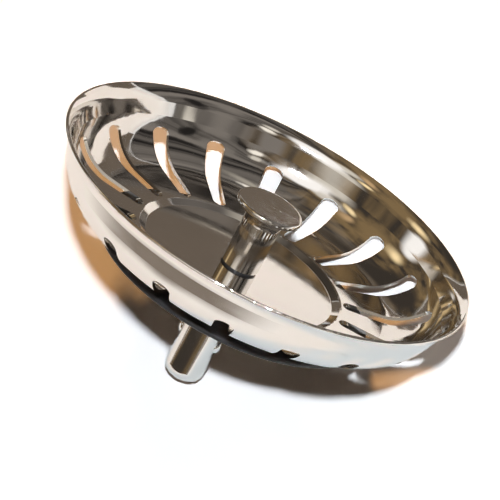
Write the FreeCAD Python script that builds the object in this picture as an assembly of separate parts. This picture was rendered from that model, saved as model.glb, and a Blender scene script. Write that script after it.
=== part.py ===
import FreeCAD, Part
import math
import os

V = FreeCAD.Vector
os.makedirs("parts", exist_ok=True)

# Driving dimensions of the basket, in millimetres. Height zero is the underside of the seal
rim_diameter = 78.8
bowl_depth = 12.8
sheet = 0.6
lip_bend = 5.0
lip_slope = 40.0
foot_diameter = 69.2
foot_rise = 1.6
foot_bend = 10.0
floor_diameter = 36.8
step_height = 0.7
step_width = 1.5
step_bend = 0.7

# Slots, tapered towards the middle
slot_count = 18
slot_phase = 94.2
slot_top_width = 3.6
slot_end_width = 2.6
slot_top_bulge = 2.2
slot_top_height = 6.0
slot_wall_share = 0.5
slot_step_margin = 0.8
slot_lean = 48.0

# Knob, stem and the stack they clamp
post_diameter = 7.0
head_diameter = 12.5
head_edge = 1.4
head_flare = 2.3
head_dish = 0.2
head_above_rim = 0.25
gasket_thickness = 0.4
seal_diameter = 52.8
seal_thickness = 2.3
seal_lip = 1.1
washer_diameter = 26.0
washer_thickness = 1.2
stud_diameter = 4.0
stem_diameter = 8.0
stem_length = 21.2
guide_length = 9.6
nose_height = 2.0
nose_inset = 1.2

# Ball catch near the end of the stem
ball_diameter = 3.2
ball_reach = 0.5
catch_drop = 12.8
catch_turn = -10.0
spring_wire = 0.4

# Clearances
stud_clearance = 0.02
hole_clearance = 0.15
recess_clearance = 0.1
catch_relief = 0.2
ball_clearance = 0.05
spring_clearance = 0.05

# Levels and radii that follow from the sizes above
half = sheet / 2
rim_r = rim_diameter / 2
post_r = post_diameter / 2
stem_r = stem_diameter / 2
stud_r = stud_diameter / 2
hole_r = stud_r + hole_clearance
floor_under = seal_thickness
floor_mid = floor_under + half
floor_top = floor_under + sheet
rim_top = floor_top + bowl_depth
rim_edge = (rim_r - half, rim_top - half)
foot_at = (foot_diameter / 2, floor_mid + foot_rise)


def revolve(edges):
    face = Part.Face(Part.Wire(Part.__sortEdges__(edges)))
    return face.revolve(V(0, 0, 0), V(0, 0, 1), 360)


def line(a, b):
    return Part.makeLine(V(a[0], 0, a[1]), V(b[0], 0, b[1]))


def arc(a, m, b):
    return Part.Arc(V(a[0], 0, a[1]), V(m[0], 0, m[1]), V(b[0], 0, b[1])).toShape()


def on_circle(centre, radius, degrees):
    a = math.radians(degrees)
    return (centre[0] + radius * math.cos(a), centre[1] + radius * math.sin(a))


def direction(a, b):
    d = math.hypot(b[0] - a[0], b[1] - a[1])
    return ((b[0] - a[0]) / d, (b[1] - a[1]) / d)


def meet(p, t, q, u):
    k = ((q[0] - p[0]) * u[1] - (q[1] - p[1]) * u[0]) / (t[0] * u[1] - t[1] * u[0])
    return (p[0] + k * t[0], p[1] + k * t[1])


# One face of the sheet: straight runs beside the middle line, joined by bends
def sheet_side(points, bends, side):
    runs = []
    for a, b in zip(points, points[1:]):
        t = direction(a, b)
        runs.append(((a[0] - side * half * t[1], a[1] + side * half * t[0]), t))
    last = points[-1]
    t = runs[-1][1]
    end = (last[0] - side * half * t[1], last[1] + side * half * t[0])
    edges = []
    start = runs[0][0]
    here = start
    for (p, t), (q, u), bend in zip(runs, runs[1:], bends):
        corner = meet(p, t, q, u)
        cross = t[0] * u[1] - t[1] * u[0]
        turn = math.atan2(cross, t[0] * u[0] + t[1] * u[1])
        left = 1 if turn > 0 else -1
        radius = bend - left * side * half
        reach = radius * math.tan(abs(turn) / 2)
        a = (corner[0] - t[0] * reach, corner[1] - t[1] * reach)
        b = (corner[0] + u[0] * reach, corner[1] + u[1] * reach)
        centre = (a[0] - left * t[1] * radius, a[1] + left * t[0] * radius)
        out = direction(centre, corner)
        middle = (centre[0] + out[0] * radius, centre[1] + out[1] * radius)
        edges.append(line(here, a))
        edges.append(arc(a, middle, b))
        here = b
    edges.append(line(here, end))
    return edges, start, end


# Basket: floor, step, bottom, wall and a rim that flares outwards to a rounded edge
lip_at = on_circle(rim_edge, lip_bend, lip_slope - 90)
gap = math.hypot(lip_at[0] - foot_at[0], lip_at[1] - foot_at[1])
to_lip = math.degrees(math.atan2(lip_at[1] - foot_at[1], lip_at[0] - foot_at[0]))
wall_angle = to_lip + math.degrees(math.asin(lip_bend / gap))
wall_top = on_circle(lip_at, lip_bend, wall_angle + 90)
floor_r = floor_diameter / 2
step_at = (floor_r + step_width, floor_mid + step_height)
path = [(hole_r, floor_mid), (floor_r, floor_mid), step_at, foot_at, wall_top]
bends = [step_bend, step_bend, foot_bend]
inner, inner_start, inner_end = sheet_side(path, bends, 1)
outer, outer_start, outer_end = sheet_side(path, bends, -1)
lip_turn_end = lip_slope + 90
lip_turn_mid = (wall_angle + 90 + lip_turn_end) / 2
lip_in = on_circle(lip_at, lip_bend + half, lip_turn_end)
lip_out = on_circle(lip_at, lip_bend - half, lip_turn_end)
rim = [arc(inner_end, on_circle(lip_at, lip_bend + half, lip_turn_mid), lip_in)]
rim.append(arc(lip_in, on_circle(rim_edge, half, lip_slope), lip_out))
rim.append(arc(lip_out, on_circle(lip_at, lip_bend - half, lip_turn_mid), outer_end))
basket = revolve(inner + outer + rim + [line(inner_start, outer_start)])

# Slots: a tapered outline cut square to the lower bend, repeated round the axis
slot_top_r = foot_at[0] + slot_wall_share * (wall_top[0] - foot_at[0])
big = slot_top_width / 2
small = slot_end_width / 2
slot_low = floor_under
slot_high = wall_top[1]
lean = math.tan(math.radians(slot_lean))
tip_at = slot_top_r + slot_top_height * lean
big_at = tip_at - slot_top_bulge
small_at = step_at[0] + slot_step_margin + small + (step_at[1] - slot_low) * lean
nx = -(big - small) / (big_at - small_at)
ny = math.sqrt(1 - nx * nx)


def flat(x, y):
    return V(x, y, slot_low)


top_a = flat(big_at, big)
top_b = flat(big_at, -big)
end_a = flat(small_at + small * nx, small * ny)
end_b = flat(small_at + small * nx, -small * ny)
outline = [Part.makeLine(end_a, top_a)]
outline.append(Part.Arc(top_a, flat(tip_at, 0), top_b).toShape())
outline.append(Part.makeLine(top_b, end_b))
outline.append(Part.Arc(end_b, flat(small_at - small, 0), end_a).toShape())
rise = slot_high - slot_low
cutter = Part.Face(Part.Wire(outline)).extrude(V(-rise * lean, 0, rise))
cutters = []
for i in range(slot_count):
    one = cutter.copy()
    one.rotate(V(0, 0, 0), V(0, 0, 1), slot_phase + i * 360 / slot_count)
    cutters.append(one)
basket = basket.cut(cutters)

# Knob: dished top, rounded edge, hollow flare down to the post, blind hole for the stud
head_r = head_diameter / 2
head_top = rim_top + head_above_rim
edge_r = head_edge / 2
edge_at = (head_r - edge_r, head_top - edge_r)
flare_top = on_circle(edge_at, edge_r, -70)
flare_low = (post_r, head_top - head_edge - head_flare)
flare_mid = (post_r + 0.28 * (flare_top[0] - post_r), flare_low[1] + 0.62 * (flare_top[1] - flare_low[1]))
knob_foot = floor_top + gasket_thickness
knob_hole_top = flare_low[1] - stud_r
crown = (edge_at[0], head_top)
dish = (0, head_top - head_dish)
dish_mid = (crown[0] / 2, head_top - 0.75 * head_dish)
knob = revolve([
    arc(dish, dish_mid, crown),
    arc(crown, on_circle(edge_at, edge_r, 10), flare_top),
    arc(flare_top, flare_mid, flare_low),
    line(flare_low, (post_r, knob_foot)),
    line((post_r, knob_foot), (stud_r + stud_clearance, knob_foot)),
    line((stud_r + stud_clearance, knob_foot), (stud_r + stud_clearance, knob_hole_top)),
    line((stud_r + stud_clearance, knob_hole_top), (0, knob_hole_top)),
    line((0, knob_hole_top), dish),
])


def ring(outer_r, inner_r, low, high):
    body = Part.makeCylinder(outer_r, high - low, V(0, 0, low))
    return body.cut(Part.makeCylinder(inner_r, high - low, V(0, 0, low)))


gasket = ring(post_r - hole_clearance, hole_r, floor_top, knob_foot)

# Seal: flat disc whose free edge thins to a lip, with a recess for the washer
seal_r = seal_diameter / 2
washer_r = washer_diameter / 2
recess_r = washer_r + recess_clearance
lip_r = seal_lip / 2
lip_at = (seal_r - lip_r, lip_r)
seal = revolve([
    line((hole_r, floor_under), (floor_r, floor_under)),
    line((floor_r, floor_under), (lip_at[0], seal_lip)),
    arc((lip_at[0], seal_lip), (seal_r, lip_r), (lip_at[0], 0)),
    line((lip_at[0], 0), (recess_r, 0)),
    line((recess_r, 0), (recess_r, washer_thickness)),
    line((recess_r, washer_thickness), (hole_r, washer_thickness)),
    line((hole_r, washer_thickness), (hole_r, floor_under)),
])
washer = ring(washer_r, hole_r, 0, washer_thickness)

# Stem: guide part, slightly smaller catch part and a rounded nose
catch_r = stem_r - catch_relief
tip = -stem_length
nose_top = tip + nose_height
nose_end = catch_r - nose_inset
nose_r = (nose_inset ** 2 + nose_height ** 2) / (2 * nose_inset)
nose_at = (catch_r - nose_r, nose_top)
nose_turn = math.degrees(math.asin(nose_height / nose_r))
guide_end = -guide_length
stud_depth = guide_length - stud_r
stem = revolve([
    line((stud_r + stud_clearance, 0), (stem_r, 0)),
    line((stem_r, 0), (stem_r, guide_end)),
    line((stem_r, guide_end), (catch_r, guide_end - catch_relief)),
    line((catch_r, guide_end - catch_relief), (catch_r, nose_top)),
    arc((catch_r, nose_top), on_circle(nose_at, nose_r, -nose_turn / 2), (nose_end, tip)),
    line((nose_end, tip), (0, tip)),
    line((0, tip), (0, -stud_depth)),
    line((0, -stud_depth), (stud_r + stud_clearance, -stud_depth)),
    line((stud_r + stud_clearance, -stud_depth), (stud_r + stud_clearance, 0)),
])

# Cross hole with a mouth that closes a little over each ball
ball_r = ball_diameter / 2
ball_at = stem_r + ball_reach - ball_r
bore_r = ball_r + ball_clearance
lip_from = ball_at + 0.23 * ball_r
lip_to = ball_at + 0.5 * ball_r
mouth_r = math.sqrt(bore_r ** 2 - (lip_to - ball_at) ** 2)
clear_of_stem = 2 * stem_r
half_hole = [
    (0, 0),
    (0, bore_r),
    (lip_from, bore_r),
    (lip_to, mouth_r),
    (clear_of_stem, mouth_r),
    (clear_of_stem, 0),
]


def across(shape):
    shape.rotate(V(0, 0, 0), V(0, 0, 1), catch_turn)
    shape.translate(V(0, 0, -catch_drop))
    return shape


corners = [V(x, 0, r) for x, r in half_hole]
hole_face = Part.Face(Part.makePolygon(corners + [corners[0]]))
right_hole = hole_face.revolve(V(0, 0, 0), V(1, 0, 0), 360)
left_hole = right_hole.copy()
left_hole.rotate(V(0, 0, 0), V(0, 0, 1), 180)
stem = stem.cut([across(right_hole), across(left_hole)])

# Balls at both ends, pushed out, and the spring between them as a plain sleeve
right_ball = Part.makeSphere(ball_r, V(ball_at, 0, 0))
left_ball = Part.makeSphere(ball_r, V(-ball_at, 0, 0))
spring_r = bore_r - ball_clearance - spring_clearance
spring_in = spring_r - spring_wire
spring_half = ball_at - math.sqrt(ball_r ** 2 - spring_in ** 2) - spring_clearance
spring = Part.makeCylinder(spring_r, 2 * spring_half, V(-spring_half, 0, 0), V(1, 0, 0))
spring = spring.cut(Part.makeCylinder(spring_in, 2 * spring_half, V(-spring_half, 0, 0), V(1, 0, 0)))

stud_low = -stud_depth + stud_r / 4
stud = Part.makeCylinder(stud_r, knob_hole_top - stud_low, V(0, 0, stud_low))

pieces = {
    "strainer_basket": basket,
    "pull_knob": knob,
    "knob_gasket": gasket,
    "seal_disc": seal,
    "backing_washer": washer,
    "tie_stud": stud,
    "stem": stem,
    "detent_spring": across(spring),
    "detent_ball_right": across(right_ball),
    "detent_ball_left": across(left_ball),
}
for name, shape in pieces.items():
    solids = shape.Solids
    if len(solids) != 1 or not shape.isValid():
        raise ValueError(name + " is not one sound solid")
    solids[0].exportStep("parts/" + name + ".step")
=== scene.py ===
import bpy
import math
from mathutils import Matrix, Vector


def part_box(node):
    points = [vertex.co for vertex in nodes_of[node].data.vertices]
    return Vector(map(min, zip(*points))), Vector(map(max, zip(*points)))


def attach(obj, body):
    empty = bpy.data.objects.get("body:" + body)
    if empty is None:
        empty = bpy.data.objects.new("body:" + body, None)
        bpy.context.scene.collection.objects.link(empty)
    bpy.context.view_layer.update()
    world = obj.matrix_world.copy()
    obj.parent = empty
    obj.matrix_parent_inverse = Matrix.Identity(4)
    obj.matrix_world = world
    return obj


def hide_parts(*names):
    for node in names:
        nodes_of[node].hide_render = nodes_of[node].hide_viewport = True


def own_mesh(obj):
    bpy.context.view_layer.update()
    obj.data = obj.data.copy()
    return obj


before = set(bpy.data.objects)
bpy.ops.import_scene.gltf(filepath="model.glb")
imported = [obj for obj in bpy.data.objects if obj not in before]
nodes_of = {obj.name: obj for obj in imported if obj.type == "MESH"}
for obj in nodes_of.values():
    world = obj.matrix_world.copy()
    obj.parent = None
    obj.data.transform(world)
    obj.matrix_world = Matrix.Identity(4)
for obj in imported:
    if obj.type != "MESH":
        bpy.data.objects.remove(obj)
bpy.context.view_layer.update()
scene = bpy.context.scene

# Lengths are in metres and angles in degrees, unless a comment says otherwise

# The camera of the photograph: how far it looks down and is rolled, its place, sensor and lens in mm
LOOK_DOWN = 23.28141
ROLL = 28.56237
CAMERA_AT = Vector((0.000396, -0.487250, 0.216198))
SENSOR = 36.0
LENS = 216.0
CLIP_START = 0.01
CLIP_END = 100.0

# The table that the strainer lies on: its upward direction in the strainer's frame, level and half width
TABLE_UP = Vector((-0.2534, -0.5950, 0.7627)).normalized()
TABLE_LEVEL = -0.01785
TABLE_HALF = 3.0

# The table's finish and its white as the camera sees it, a cooler white that the metal mirrors as a painted
# reflection, and a darker brown that bounced light meets as a painted shade
TABLE_ROUGH = 0.75
TABLE_SHINE = 0.1
TABLE_SEEN = (1.58, 1.575, 1.567, 1)
TABLE_MIRRORED = (1.24, 1.33, 1.35, 1)
TABLE_BOUNCED_SHADE = (0.40, 0.30, 0.22, 1)

# A ray that has bounced off a dull surface has a diffuse depth above this
BOUNCED_DEPTH = 0.5

# The backdrop that the table fades into between two distances, and the light that the room gives back
BACKDROP = (0.95, 0.945, 0.94, 1)
FADE_START = 0.13
FADE_END = 0.4
ROOM_LIGHT = (0.024, 0.0175, 0.0125, 1)

# Slots of the basket: count, place of the first, height and reach of upper ends, swelling between them
SLOT_COUNT = 18
SLOT_PHASE = 94.2
SLOT_TOP = 0.0075
SLOT_REACH = 0.004
SLOT_SWELLING = 0.00004

# Dish of the knob's head and the share of it that the shading takes away
HEAD_DISH = 0.0002
HEAD_EASE = 0.75

# Steel: scales of its clouds, smears, swells and hairlines, and depths of the last two
CLOUD_SCALE = 90.0
SMEAR_SCALE = 400.0
SWELL_SCALE = 130.0
HAIR_SCALE = 700.0
SWELL_DEPTH = 0.0006
HAIR_DEPTH = 0.00004

# Rubber: its blacks and roughness, scales of its clouds and grain, strength and depth of the grain
RUBBER_DARK = (0.010, 0.010, 0.012, 1)
RUBBER_LIGHT = (0.024, 0.024, 0.027, 1)
RUBBER_ROUGH = (0.42, 0.6)
RUBBER_CLOUD_SCALE = 220.0
GRAIN_SCALE = 2600.0
GRAIN_STRENGTH = 0.25
GRAIN_DEPTH = 0.00006

# Coils of the catch spring on each side of its middle, its wire and the steps of a turn
HALF_TURNS = 3.5
SPRING_WIRE = 0.0004
TURN_STEPS = 24
WIRE_SIDES = 10

# Tints of the painted reflections, the room that the metal mirrors, as screen colours
WHITE = (252, 251, 250)
CREAM = (245, 240, 230)
PALE = (205, 200, 190)
STONE = (160, 155, 145)
GREY = (120, 115, 110)
DARK = (55, 50, 45)
BLACK = (35, 33, 32)
AMBER = (255, 230, 180)
TAN = (190, 160, 120)
BROWN = (125, 105, 75)

# Cards on the table, glowing sheets that only the metal sees, as painted reflections: lift, scale and shade
# of their clouds, tints, outlines in mm to the right and away
CARD_LIFT = 0.0004
CARD_CLOUD_SCALE = 12.0
CARD_SHADE = 0.9
# Far sheet: a painted reflection of dark ground behind the strainer
FAR_REFLECTION_OUTLINE = [
    (-400, 66), (24, 66), (29, 80), (33, 90), (38, 95), (48, 97), (76, 92), (95, 80), (160, 70), (900, 240),
    (900, 900), (-400, 900)
]
FAR_REFLECTION_TINT = (105, 95, 85)
# Near sheet: painted shade over the table as the metal mirrors it, to the left and in front
NEAR_SHADE_OUTLINE = [(-600, 40), (30, 40), (30, -140), (120, -600), (-600, -600)]
NEAR_SHADE_TINT = (135, 125, 115)

# The near painted shade's soft edge: a point, and the distances from it in mm where the shade starts and is
# full
NEAR_FADE_POINT = (40, 30)
NEAR_FADE_START = 120
NEAR_FADE_END = 195

# Tent round the table: radius, rings, turns, zenith angle of its lower edge, and the glow of tent and cards
TENT_RADIUS = 2.4
TENT_RINGS = 24
TENT_TURNS = 64
TENT_EDGE = 92
TENT_GLOW = 1.25

# Cloth of the tent, a bare painted reflection: scales of its clouds and streaks, their range of noise, and
# where brown turns to grey
CLOTH_CLOUD_SCALE = 5.0
CLOTH_STREAK_SCALE = 4.0
CLOTH_NOISE = (0.36, 0.64)
CLOTH_GREY_FROM = 0.0
CLOTH_GREY_AT = 0.5

# A patch of the tent is this deep, so that only its width and height count
PATCH_DEPTH = 1000

# Patches of painted reflection on the tent, later ones over earlier ones: azimuth, zenith angle, half
# width, half height, softness, tint
PATCHES = [
    # Grey stretches on the right
    (346, 50, 20, 12, 0.8, GREY),
    (315, 64, 14, 14, 0.7, GREY),
    (52, 59, 16, 8, 0.8, STONE),
    # Pale ground low on the camera's side
    (300, 87, 34, 6, 0.6, STONE),
    (321, 84, 8, 5, 0.6, PALE),
    # Dark gaps on the right and behind
    (338, 71, 14, 8, 0.6, BLACK),
    (92, 72, 34, 20, 0.5, DARK),
    # Small painted highlights behind, one on each side
    (58, 68, 6, 6, 0.6, CREAM),
    (153, 68, 11, 12, 0.6, WHITE),
    # Pale wall on the left, towards the camera, and its dark foot
    (235, 55, 45, 20, 0.4, PALE),
    (222, 81, 50, 11, 0.4, DARK),
    # Bright ceiling
    (195, 9, 14, 10, 0.6, PALE),
    (225, 27, 20, 12, 0.6, PALE),
    (270, 15, 22, 14, 0.45, WHITE),
    # Painted highlights of small lights, and a grey stretch, beside the camera
    (322, 32, 7, 6, 0.7, PALE),
    (306, 39, 7, 6, 0.6, CREAM),
    (287, 46, 16, 7, 0.6, GREY),
    # Painted highlights of warm lights on the left and behind
    (140, 38, 26, 20, 0.7, BROWN),
    (134, 52, 13, 11, 0.9, AMBER),
    (176, 22, 8, 6, 0.8, AMBER),
    (128, 18, 12, 7, 0.8, TAN),
    # Bright opening low on the camera's side
    (282, 69, 14, 12, 0.5, CREAM),
]


# Right, up and back as the camera has them
def camera_axes():
    down = math.radians(LOOK_DOWN)
    roll = math.radians(ROLL)
    back = Vector((0, -math.cos(down), math.sin(down)))
    level_up = Vector((0, math.sin(down), math.cos(down)))
    right = math.cos(roll) * Vector((1, 0, 0)) + math.sin(roll) * level_up
    return right, back.cross(right), back


RIGHT, UP, BACK = camera_axes()
TABLE_X = (RIGHT - RIGHT.dot(TABLE_UP) * TABLE_UP).normalized()
TABLE_Y = TABLE_UP.cross(TABLE_X)


def axes_matrix(x, y, z, at=(0, 0, 0)):
    m = Matrix((x, y, z)).transposed().to_4x4()
    m.translation = at
    return m


# Azimuth 0 is to the camera's right and 90 away from it, and the zenith is the table's upward direction
def towards(azimuth, zenith):
    a = math.radians(azimuth)
    z = math.radians(zenith)
    flat = math.cos(a) * TABLE_X + math.sin(a) * TABLE_Y
    return math.sin(z) * flat + math.cos(z) * TABLE_UP


def facing_centre(azimuth, zenith, at=(0, 0, 0)):
    out = towards(azimuth, zenith)
    side = TABLE_UP.cross(out).normalized()
    return axes_matrix(side, out.cross(side), out, at)


# Screen colour to linear light, by the sRGB formula
def linear(rgb):
    out = []
    for c in rgb:
        c = c / 255
        out.append(c / 12.92 if c <= 0.04045 else ((c + 0.055) / 1.055) ** 2.4)
    return tuple(out) + (1.0,)


def link(tree, a, b):
    tree.links.new(a, b)


# Each value is a socket to link or a constant
def feed(tree, sockets, values):
    for socket, value in zip(sockets, values):
        if isinstance(value, bpy.types.NodeSocket):
            link(tree, value, socket)
        else:
            socket.default_value = value


def add(tree, kind, **inputs):
    node = tree.nodes.new("ShaderNode" + kind)
    for name, value in inputs.items():
        node.inputs[name.replace("_", " ")].default_value = value
    return node


def noise(tree, coords, scale, detail, stretch=(1, 1, 1)):
    mapping = add(tree, "Mapping", Scale=stretch)
    link(tree, coords, mapping.inputs["Vector"])
    tex = add(tree, "TexNoise", Scale=scale, Detail=detail)
    link(tree, mapping.outputs["Vector"], tex.inputs["Vector"])
    return tex.outputs["Fac"]


# A value from one range to another, where noise mostly lies between 0.3 and 0.7
def spread(tree, value, low, high, from_low=0.3, from_high=0.7):
    node = add(tree, "MapRange", From_Min=from_low, From_Max=from_high, To_Min=low, To_Max=high)
    link(tree, value, node.inputs["Value"])
    return node.outputs["Result"]


# A value from one range to another, with soft ends
def smooth(tree, value, start, end, low=0.0, high=1.0):
    node = add(tree, "MapRange", From_Min=start, From_Max=end, To_Min=low, To_Max=high)
    node.interpolation_type = "SMOOTHSTEP"
    link(tree, value, node.inputs["Value"])
    return node.outputs["Result"]


def mix(tree, factor, a, b):
    node = tree.nodes.new("ShaderNodeMix")
    node.data_type = "RGBA"
    feed(tree, [s for s in node.inputs if s.enabled], (factor, a, b))
    return next(s for s in node.outputs if s.enabled)


def blend(tree, factor, a, b):
    node = add(tree, "MixShader")
    feed(tree, node.inputs, (factor, a, b))
    return node.outputs[0]


def calc(tree, operation, a, b=0.0):
    node = add(tree, "Math")
    node.operation = operation
    feed(tree, node.inputs, (a, b))
    return node.outputs[0]


def measure(tree, operation, vector, other=(0, 0, 0)):
    node = add(tree, "VectorMath")
    node.operation = operation
    feed(tree, node.inputs, (vector, other))
    return node.outputs["Value"]


def split(tree, vector):
    node = add(tree, "SeparateXYZ")
    link(tree, vector, node.inputs[0])
    return node.outputs


def bump(tree, shader, heights):
    last = None
    for height, strength, distance in heights:
        node = add(tree, "Bump", Strength=strength, Distance=distance)
        link(tree, height, node.inputs["Height"])
        if last:
            link(tree, last, node.inputs["Normal"])
        last = node.outputs["Normal"]
    link(tree, last, shader.inputs["Normal"])


# Rays that come straight from the camera, or by way of metal or something clear
def seen_directly(tree, rays):
    seen = calc(tree, "MAXIMUM", rays["Is Camera Ray"], rays["Is Glossy Ray"])
    return calc(tree, "MAXIMUM", seen, rays["Is Transmission Ray"])


def material(name):
    m = bpy.data.materials.new(name)
    m.use_nodes = True
    tree = m.node_tree
    coords = add(tree, "TexCoord").outputs["Object"]
    return m, tree, tree.nodes["Principled BSDF"], coords


def show(tree, shader):
    link(tree, shader, tree.nodes["Material Output"].inputs["Surface"])


# Slight swelling of the wall between the slots, left by the punching
def panels(tree, coords):
    place = split(tree, coords)
    turn = calc(tree, "ARCTAN2", place["Y"], place["X"])
    from_slot = calc(tree, "SUBTRACT", turn, math.radians(SLOT_PHASE))
    wave = calc(tree, "COSINE", calc(tree, "MULTIPLY", from_slot, SLOT_COUNT))
    off = calc(tree, "ABSOLUTE", calc(tree, "SUBTRACT", place["Z"], SLOT_TOP))
    return calc(tree, "MULTIPLY", wave, smooth(tree, off, 0.0, SLOT_REACH, 1.0, 0.0))


# Crown of the knob's head, shaded flatter than its dish
def crown(tree, coords):
    top = max(corner[2] for corner in nodes_of["pull_knob"].bound_box)
    height = calc(tree, "MAXIMUM", split(tree, coords)["Z"], top - HEAD_DISH)
    return calc(tree, "MULTIPLY", height, -HEAD_EASE)


# Steel with clouds in its colour, smears in its gloss, soft swells and hairline scratches
def steel(name, light, dark, rough, swell, hair, stretch=(1, 1, 1), swelling=0.0, flatter=False):
    m, tree, shader, coords = material(name)
    shader.inputs["Metallic"].default_value = 1.0
    cloud = noise(tree, coords, CLOUD_SCALE, detail=4.0)
    link(tree, mix(tree, spread(tree, cloud, 0.0, 1.0), light, dark), shader.inputs["Base Color"])
    smear = noise(tree, coords, SMEAR_SCALE, detail=5.0)
    link(tree, spread(tree, smear, rough[0], rough[1]), shader.inputs["Roughness"])
    swells = noise(tree, coords, SWELL_SCALE, detail=1.0)
    hairs = noise(tree, coords, HAIR_SCALE, detail=3.0, stretch=stretch)
    heights = [(swells, swell, SWELL_DEPTH), (hairs, hair, HAIR_DEPTH)]
    if swelling:
        heights.append((panels(tree, coords), 1.0, swelling))
    if flatter:
        heights.append((crown(tree, coords), 1.0, 1.0))
    bump(tree, shader, heights)
    return m


def rubber(name):
    m, tree, shader, coords = material(name)
    cloud = noise(tree, coords, RUBBER_CLOUD_SCALE, detail=4.0)
    black = mix(tree, spread(tree, cloud, 0.0, 1.0), RUBBER_DARK, RUBBER_LIGHT)
    link(tree, black, shader.inputs["Base Color"])
    grain = noise(tree, coords, GRAIN_SCALE, detail=2.0)
    link(tree, spread(tree, grain, RUBBER_ROUGH[0], RUBBER_ROUGH[1]), shader.inputs["Roughness"])
    bump(tree, shader, [(grain, GRAIN_STRENGTH, GRAIN_DEPTH)])
    return m


SHEET = {
    "light": (0.81, 0.775, 0.735, 1),
    "dark": (0.75, 0.72, 0.685, 1),
    "rough": (0.035, 0.09),
    "swell": 0.05,
    "hair": 0.06,
    "stretch": (1, 1, 0.12),
    "swelling": SLOT_SWELLING,
}
BRIGHT = {
    "light": (0.83, 0.80, 0.76, 1),
    "dark": (0.76, 0.73, 0.69, 1),
    "rough": (0.05, 0.12),
    "swell": 0.02,
    "hair": 0.12,
    "stretch": (1, 1, 0.06),
}
PLAIN = {
    "light": (0.66, 0.655, 0.64, 1),
    "dark": (0.56, 0.555, 0.545, 1),
    "rough": (0.26, 0.38),
    "swell": 0.03,
    "hair": 0.2,
}
BALL = {
    "light": (0.84, 0.83, 0.81, 1),
    "dark": (0.78, 0.77, 0.755, 1),
    "rough": (0.06, 0.14),
    "swell": 0.01,
    "hair": 0.05,
}
sheet_steel = steel("polished_sheet", **SHEET)
bright_metal = steel("bright_metal", **BRIGHT)
knob_metal = steel("knob_metal", flatter=True, **BRIGHT)
plain_steel = steel("plain_steel", **PLAIN)
ball_steel = steel("ball_steel", **BALL)
black_rubber = rubber("black_rubber")
finishes = {
    "strainer_basket": sheet_steel,
    "pull_knob": knob_metal,
    "stem": bright_metal,
    "knob_gasket": black_rubber,
    "seal_disc": black_rubber,
    "backing_washer": plain_steel,
    "tie_stud": plain_steel,
    "detent_spring": plain_steel,
    "detent_ball_right": ball_steel,
    "detent_ball_left": ball_steel,
}
for name, finish in finishes.items():
    data = nodes_of[name].data
    data.materials.clear()
    data.materials.append(finish)


# Pieces that the scene adds
def new_object(name, points, faces):
    data = bpy.data.meshes.new(name)
    data.from_pydata(points, [], faces)
    obj = bpy.data.objects.new(name, data)
    scene.collection.objects.link(obj)
    return obj


def flat_mesh(name, corners):
    return new_object(name, corners, [tuple(range(len(corners)))])


# Catch spring: a coil from the middle to one ball
def middle(node):
    low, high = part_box(node)
    return (Vector(low) + Vector(high)) / 2


def coil_points(centre, axis, radius, reach, steps):
    up = Vector((0, 0, 1))
    side = axis.cross(up)
    points = []
    for i in range(steps + 1):
        turn = math.tau * i / TURN_STEPS
        out = math.cos(turn) * up + math.sin(turn) * side
        at = centre + radius * out + reach * i / steps * axis
        for k in range(WIRE_SIDES):
            b = math.tau * k / WIRE_SIDES
            points.append(at + SPRING_WIRE / 2 * (math.cos(b) * out + math.sin(b) * axis))
    return points


def coil_faces(steps):
    faces = [tuple(range(WIRE_SIDES))]
    for i in range(steps):
        for k in range(WIRE_SIDES):
            a = i * WIRE_SIDES + k
            b = i * WIRE_SIDES + (k + 1) % WIRE_SIDES
            faces.append((a, a + WIRE_SIDES, b + WIRE_SIDES, b))
    faces.append(tuple(steps * WIRE_SIDES + k for k in reversed(range(WIRE_SIDES))))
    return faces


def half_spring(name, ball):
    rest = nodes_of["detent_spring"].data.vertices
    centre = middle("detent_spring")
    axis = (middle(ball) - centre).normalized()
    reach = max((v.co - centre).dot(axis) for v in rest) - SPRING_WIRE / 2
    radius = max(v.co.z for v in rest) - centre.z - SPRING_WIRE / 2
    steps = int(HALF_TURNS * TURN_STEPS)
    obj = new_object(name, coil_points(centre, axis, radius, reach, steps), coil_faces(steps))
    obj.data.shade_smooth()
    obj.data.materials.append(plain_steel)
    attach(obj, "plug")
    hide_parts("detent_spring")
    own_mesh(obj)


half_spring("spring_right", "detent_ball_right")
half_spring("spring_left", "detent_ball_left")


# Table: white near the strainer, fading into the backdrop, and seen through from below
def table_white_and_shade():
    m, tree, shader, coords = material("table_white_and_shade")
    shader.inputs["Roughness"].default_value = TABLE_ROUGH
    shader.inputs["Specular IOR Level"].default_value = TABLE_SHINE
    rays = add(tree, "LightPath").outputs
    # The metal mirrors a cooler white, a painted reflection that offsets the warm lamp's tint
    white = mix(tree, rays["Is Glossy Ray"], TABLE_SEEN, TABLE_MIRRORED)
    # Bounced light meets a darker brown, painted shade that deepens the shadow under the strainer
    bounced = calc(tree, "GREATER_THAN", rays["Diffuse Depth"], BOUNCED_DEPTH)
    link(tree, mix(tree, bounced, white, TABLE_BOUNCED_SHADE), shader.inputs["Base Color"])
    away = measure(tree, "LENGTH", coords)
    far_off = spread(tree, away, 0.0, 1.0, FADE_START, FADE_END)
    faded = calc(tree, "MULTIPLY", seen_directly(tree, rays), far_off)
    backdrop = add(tree, "Emission", Color=BACKDROP).outputs[0]
    floor = blend(tree, faded, shader.outputs[0], backdrop)
    below = add(tree, "NewGeometry").outputs["Backfacing"]
    from_below = calc(tree, "MULTIPLY", rays["Is Camera Ray"], below)
    show(tree, blend(tree, from_below, floor, add(tree, "BsdfTransparent").outputs[0]))
    return m


corners = ((-1, -1), (1, -1), (1, 1), (-1, 1))
table = flat_mesh("table", [(x * TABLE_HALF, y * TABLE_HALF, 0) for x, y in corners])
table.matrix_world = axes_matrix(TABLE_X, TABLE_Y, TABLE_UP, TABLE_LEVEL * TABLE_UP)
table.data.materials.append(table_white_and_shade())


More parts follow.
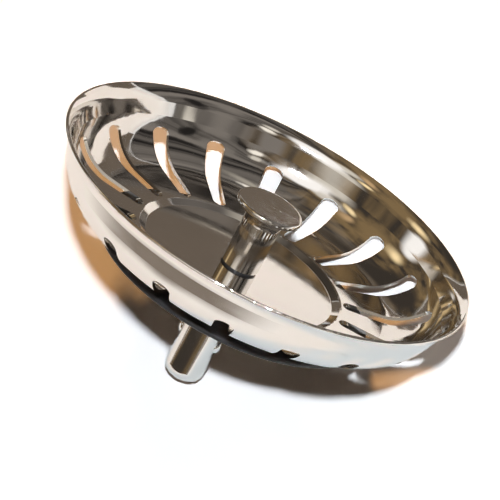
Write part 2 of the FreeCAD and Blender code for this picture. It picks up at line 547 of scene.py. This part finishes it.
# Only the metal sees the cards and the tent, as its reflections
def reflected_only(obj):
    obj.visible_camera = False
    obj.visible_diffuse = False
    obj.visible_shadow = False


def glow_material(name):
    m = bpy.data.materials.new(name)
    m.use_nodes = True
    tree = m.node_tree
    tree.nodes.remove(tree.nodes["Principled BSDF"])
    return m, tree


def glow(tree, colour):
    node = add(tree, "Emission", Strength=TENT_GLOW)
    link(tree, colour, node.inputs["Color"])
    return node.outputs[0]


def in_metres(lengths):
    return [v / 1000 for v in lengths]


# Cards, glowing sheets of painted reflection: a hard-edged far one of dark ground behind the strainer, and
# a near one of painted shade that fades in
def painted_card(name, outline, tint, fade=None):
    obj = flat_mesh(name, [(*in_metres(point), CARD_LIFT) for point in outline])
    obj.matrix_world = table.matrix_world
    reflected_only(obj)
    m, tree = glow_material(name)
    place = add(tree, "TexCoord").outputs["Object"]
    cloud = noise(tree, place, CARD_CLOUD_SCALE, detail=2.0)
    shade = linear([CARD_SHADE * c for c in tint])
    surface = glow(tree, mix(tree, spread(tree, cloud, 0.0, 1.0), linear(tint), shade))
    if fade:
        point, start, end = fade
        away = measure(tree, "DISTANCE", place, (*in_metres(point), CARD_LIFT))
        edge = smooth(tree, away, *in_metres((start, end)))
        surface = blend(tree, edge, add(tree, "BsdfTransparent").outputs[0], surface)
    show(tree, surface)
    obj.data.materials.append(m)


painted_card("far_painted_reflection", FAR_REFLECTION_OUTLINE, FAR_REFLECTION_TINT)
painted_card("near_painted_shade", NEAR_SHADE_OUTLINE, NEAR_SHADE_TINT, (NEAR_FADE_POINT, NEAR_FADE_START, NEAR_FADE_END))


# Tent: a glowing dome round the table that only the metal sees, carrying painted reflections
def tent():
    points = [TENT_RADIUS * TABLE_UP]
    for i in range(1, TENT_RINGS + 1):
        for k in range(TENT_TURNS):
            points.append(TENT_RADIUS * towards(360 * k / TENT_TURNS, TENT_EDGE * i / TENT_RINGS))
    faces = [(0, 1 + k, 1 + (k + 1) % TENT_TURNS) for k in range(TENT_TURNS)]
    for i in range(TENT_RINGS - 1):
        a = 1 + i * TENT_TURNS
        for k in range(TENT_TURNS):
            j = (k + 1) % TENT_TURNS
            faces.append((a + k, a + TENT_TURNS + k, a + TENT_TURNS + j, a + j))
    obj = new_object("tent", points, faces)
    reflected_only(obj)
    return obj


# Bare tent, a painted reflection: brown clouds on the left that turn to grey streaks on the right
def bare_tent_reflection(tree, ray):
    across = measure(tree, "DOT_PRODUCT", ray, TABLE_X)
    turn = calc(tree, "ARCTAN2", measure(tree, "DOT_PRODUCT", ray, TABLE_Y), across)
    streaks = add(tree, "TexNoise", Scale=CLOTH_STREAK_SCALE, Detail=2.0)
    streaks.noise_dimensions = "1D"
    link(tree, turn, streaks.inputs["W"])
    streak = spread(tree, streaks.outputs["Fac"], 0.0, 1.0, *CLOTH_NOISE)
    cloud = spread(tree, noise(tree, ray, CLOTH_CLOUD_SCALE, detail=4.0), 0.0, 1.0, *CLOTH_NOISE)
    brown = mix(tree, cloud, linear(BROWN), linear(DARK))
    grey = mix(tree, streak, linear(GREY), linear(BLACK))
    return mix(tree, spread(tree, across, 0.0, 1.0, CLOTH_GREY_FROM, CLOTH_GREY_AT), brown, grey)


# Share of a patch in what a direction shows: 1 in its middle, 0 outside its oval
def patch(tree, ray, azimuth, zenith, wide, high, soft):
    mapping = add(tree, "Mapping")
    mapping.vector_type = "TEXTURE"
    mapping.inputs["Rotation"].default_value = facing_centre(azimuth, zenith).to_euler()
    size = (math.sin(math.radians(wide)), math.sin(math.radians(high)), PATCH_DEPTH)
    mapping.inputs["Scale"].default_value = size
    link(tree, ray, mapping.inputs["Vector"])
    oval = add(tree, "TexGradient")
    oval.gradient_type = "SPHERICAL"
    link(tree, mapping.outputs["Vector"], oval.inputs["Vector"])
    return smooth(tree, oval.outputs["Fac"], 0.0, soft)


def tent_painted_reflections():
    m, tree = glow_material("tent_painted_reflections")
    unit = add(tree, "VectorMath")
    unit.operation = "NORMALIZE"
    link(tree, add(tree, "NewGeometry").outputs["Position"], unit.inputs[0])
    ray = unit.outputs["Vector"]
    colour = bare_tent_reflection(tree, ray)
    for *shape, tint in PATCHES:
        colour = mix(tree, patch(tree, ray, *shape), colour, linear(tint))
    show(tree, glow(tree, colour))
    return m


tent().data.materials.append(tent_painted_reflections())


# Lamps: a small cool key above the camera, a wide warm one behind and a wide fill on the right
def lamp(name, azimuth, zenith, far, size, power, colour, mirrored):
    data = bpy.data.lights.new(name, "AREA")
    data.shape = "DISK"
    data.size = size
    data.energy = power
    data.color = colour
    obj = bpy.data.objects.new(name, data)
    scene.collection.objects.link(obj)
    obj.matrix_world = facing_centre(azimuth, zenith, far * towards(azimuth, zenith))
    obj.visible_camera = False
    obj.visible_glossy = mirrored


lamp(
    "key", azimuth=273, zenith=22, far=0.7, size=0.034, power=3.42, colour=(0.90, 0.94, 1.0), mirrored=True
)
lamp(
    "warm", azimuth=101, zenith=36, far=1.5, size=0.25, power=7.2, colour=(1.0, 0.50, 0.17), mirrored=False
)
lamp(
    "fill", azimuth=20, zenith=40, far=1.2, size=0.3, power=1.23, colour=(1.0, 0.95, 0.90), mirrored=False
)


# World: the pale backdrop, and a little light from the room
def studio():
    world = bpy.data.worlds.new("studio")
    world.use_nodes = True
    tree = world.node_tree
    rays = add(tree, "LightPath").outputs
    shade = mix(tree, seen_directly(tree, rays), ROOM_LIGHT, BACKDROP)
    link(tree, shade, tree.nodes["Background"].inputs["Color"])
    return world


# Camera of the photograph
def photo_camera():
    lens = bpy.data.cameras.new("camera")
    lens.sensor_width = SENSOR
    lens.lens = LENS
    lens.clip_start = CLIP_START
    lens.clip_end = CLIP_END
    camera = bpy.data.objects.new("camera", lens)
    camera.matrix_world = axes_matrix(RIGHT, UP, BACK, CAMERA_AT)
    scene.collection.objects.link(camera)
    return camera


scene.world = studio()
scene.camera = photo_camera()
scene.view_settings.view_transform = "Standard"
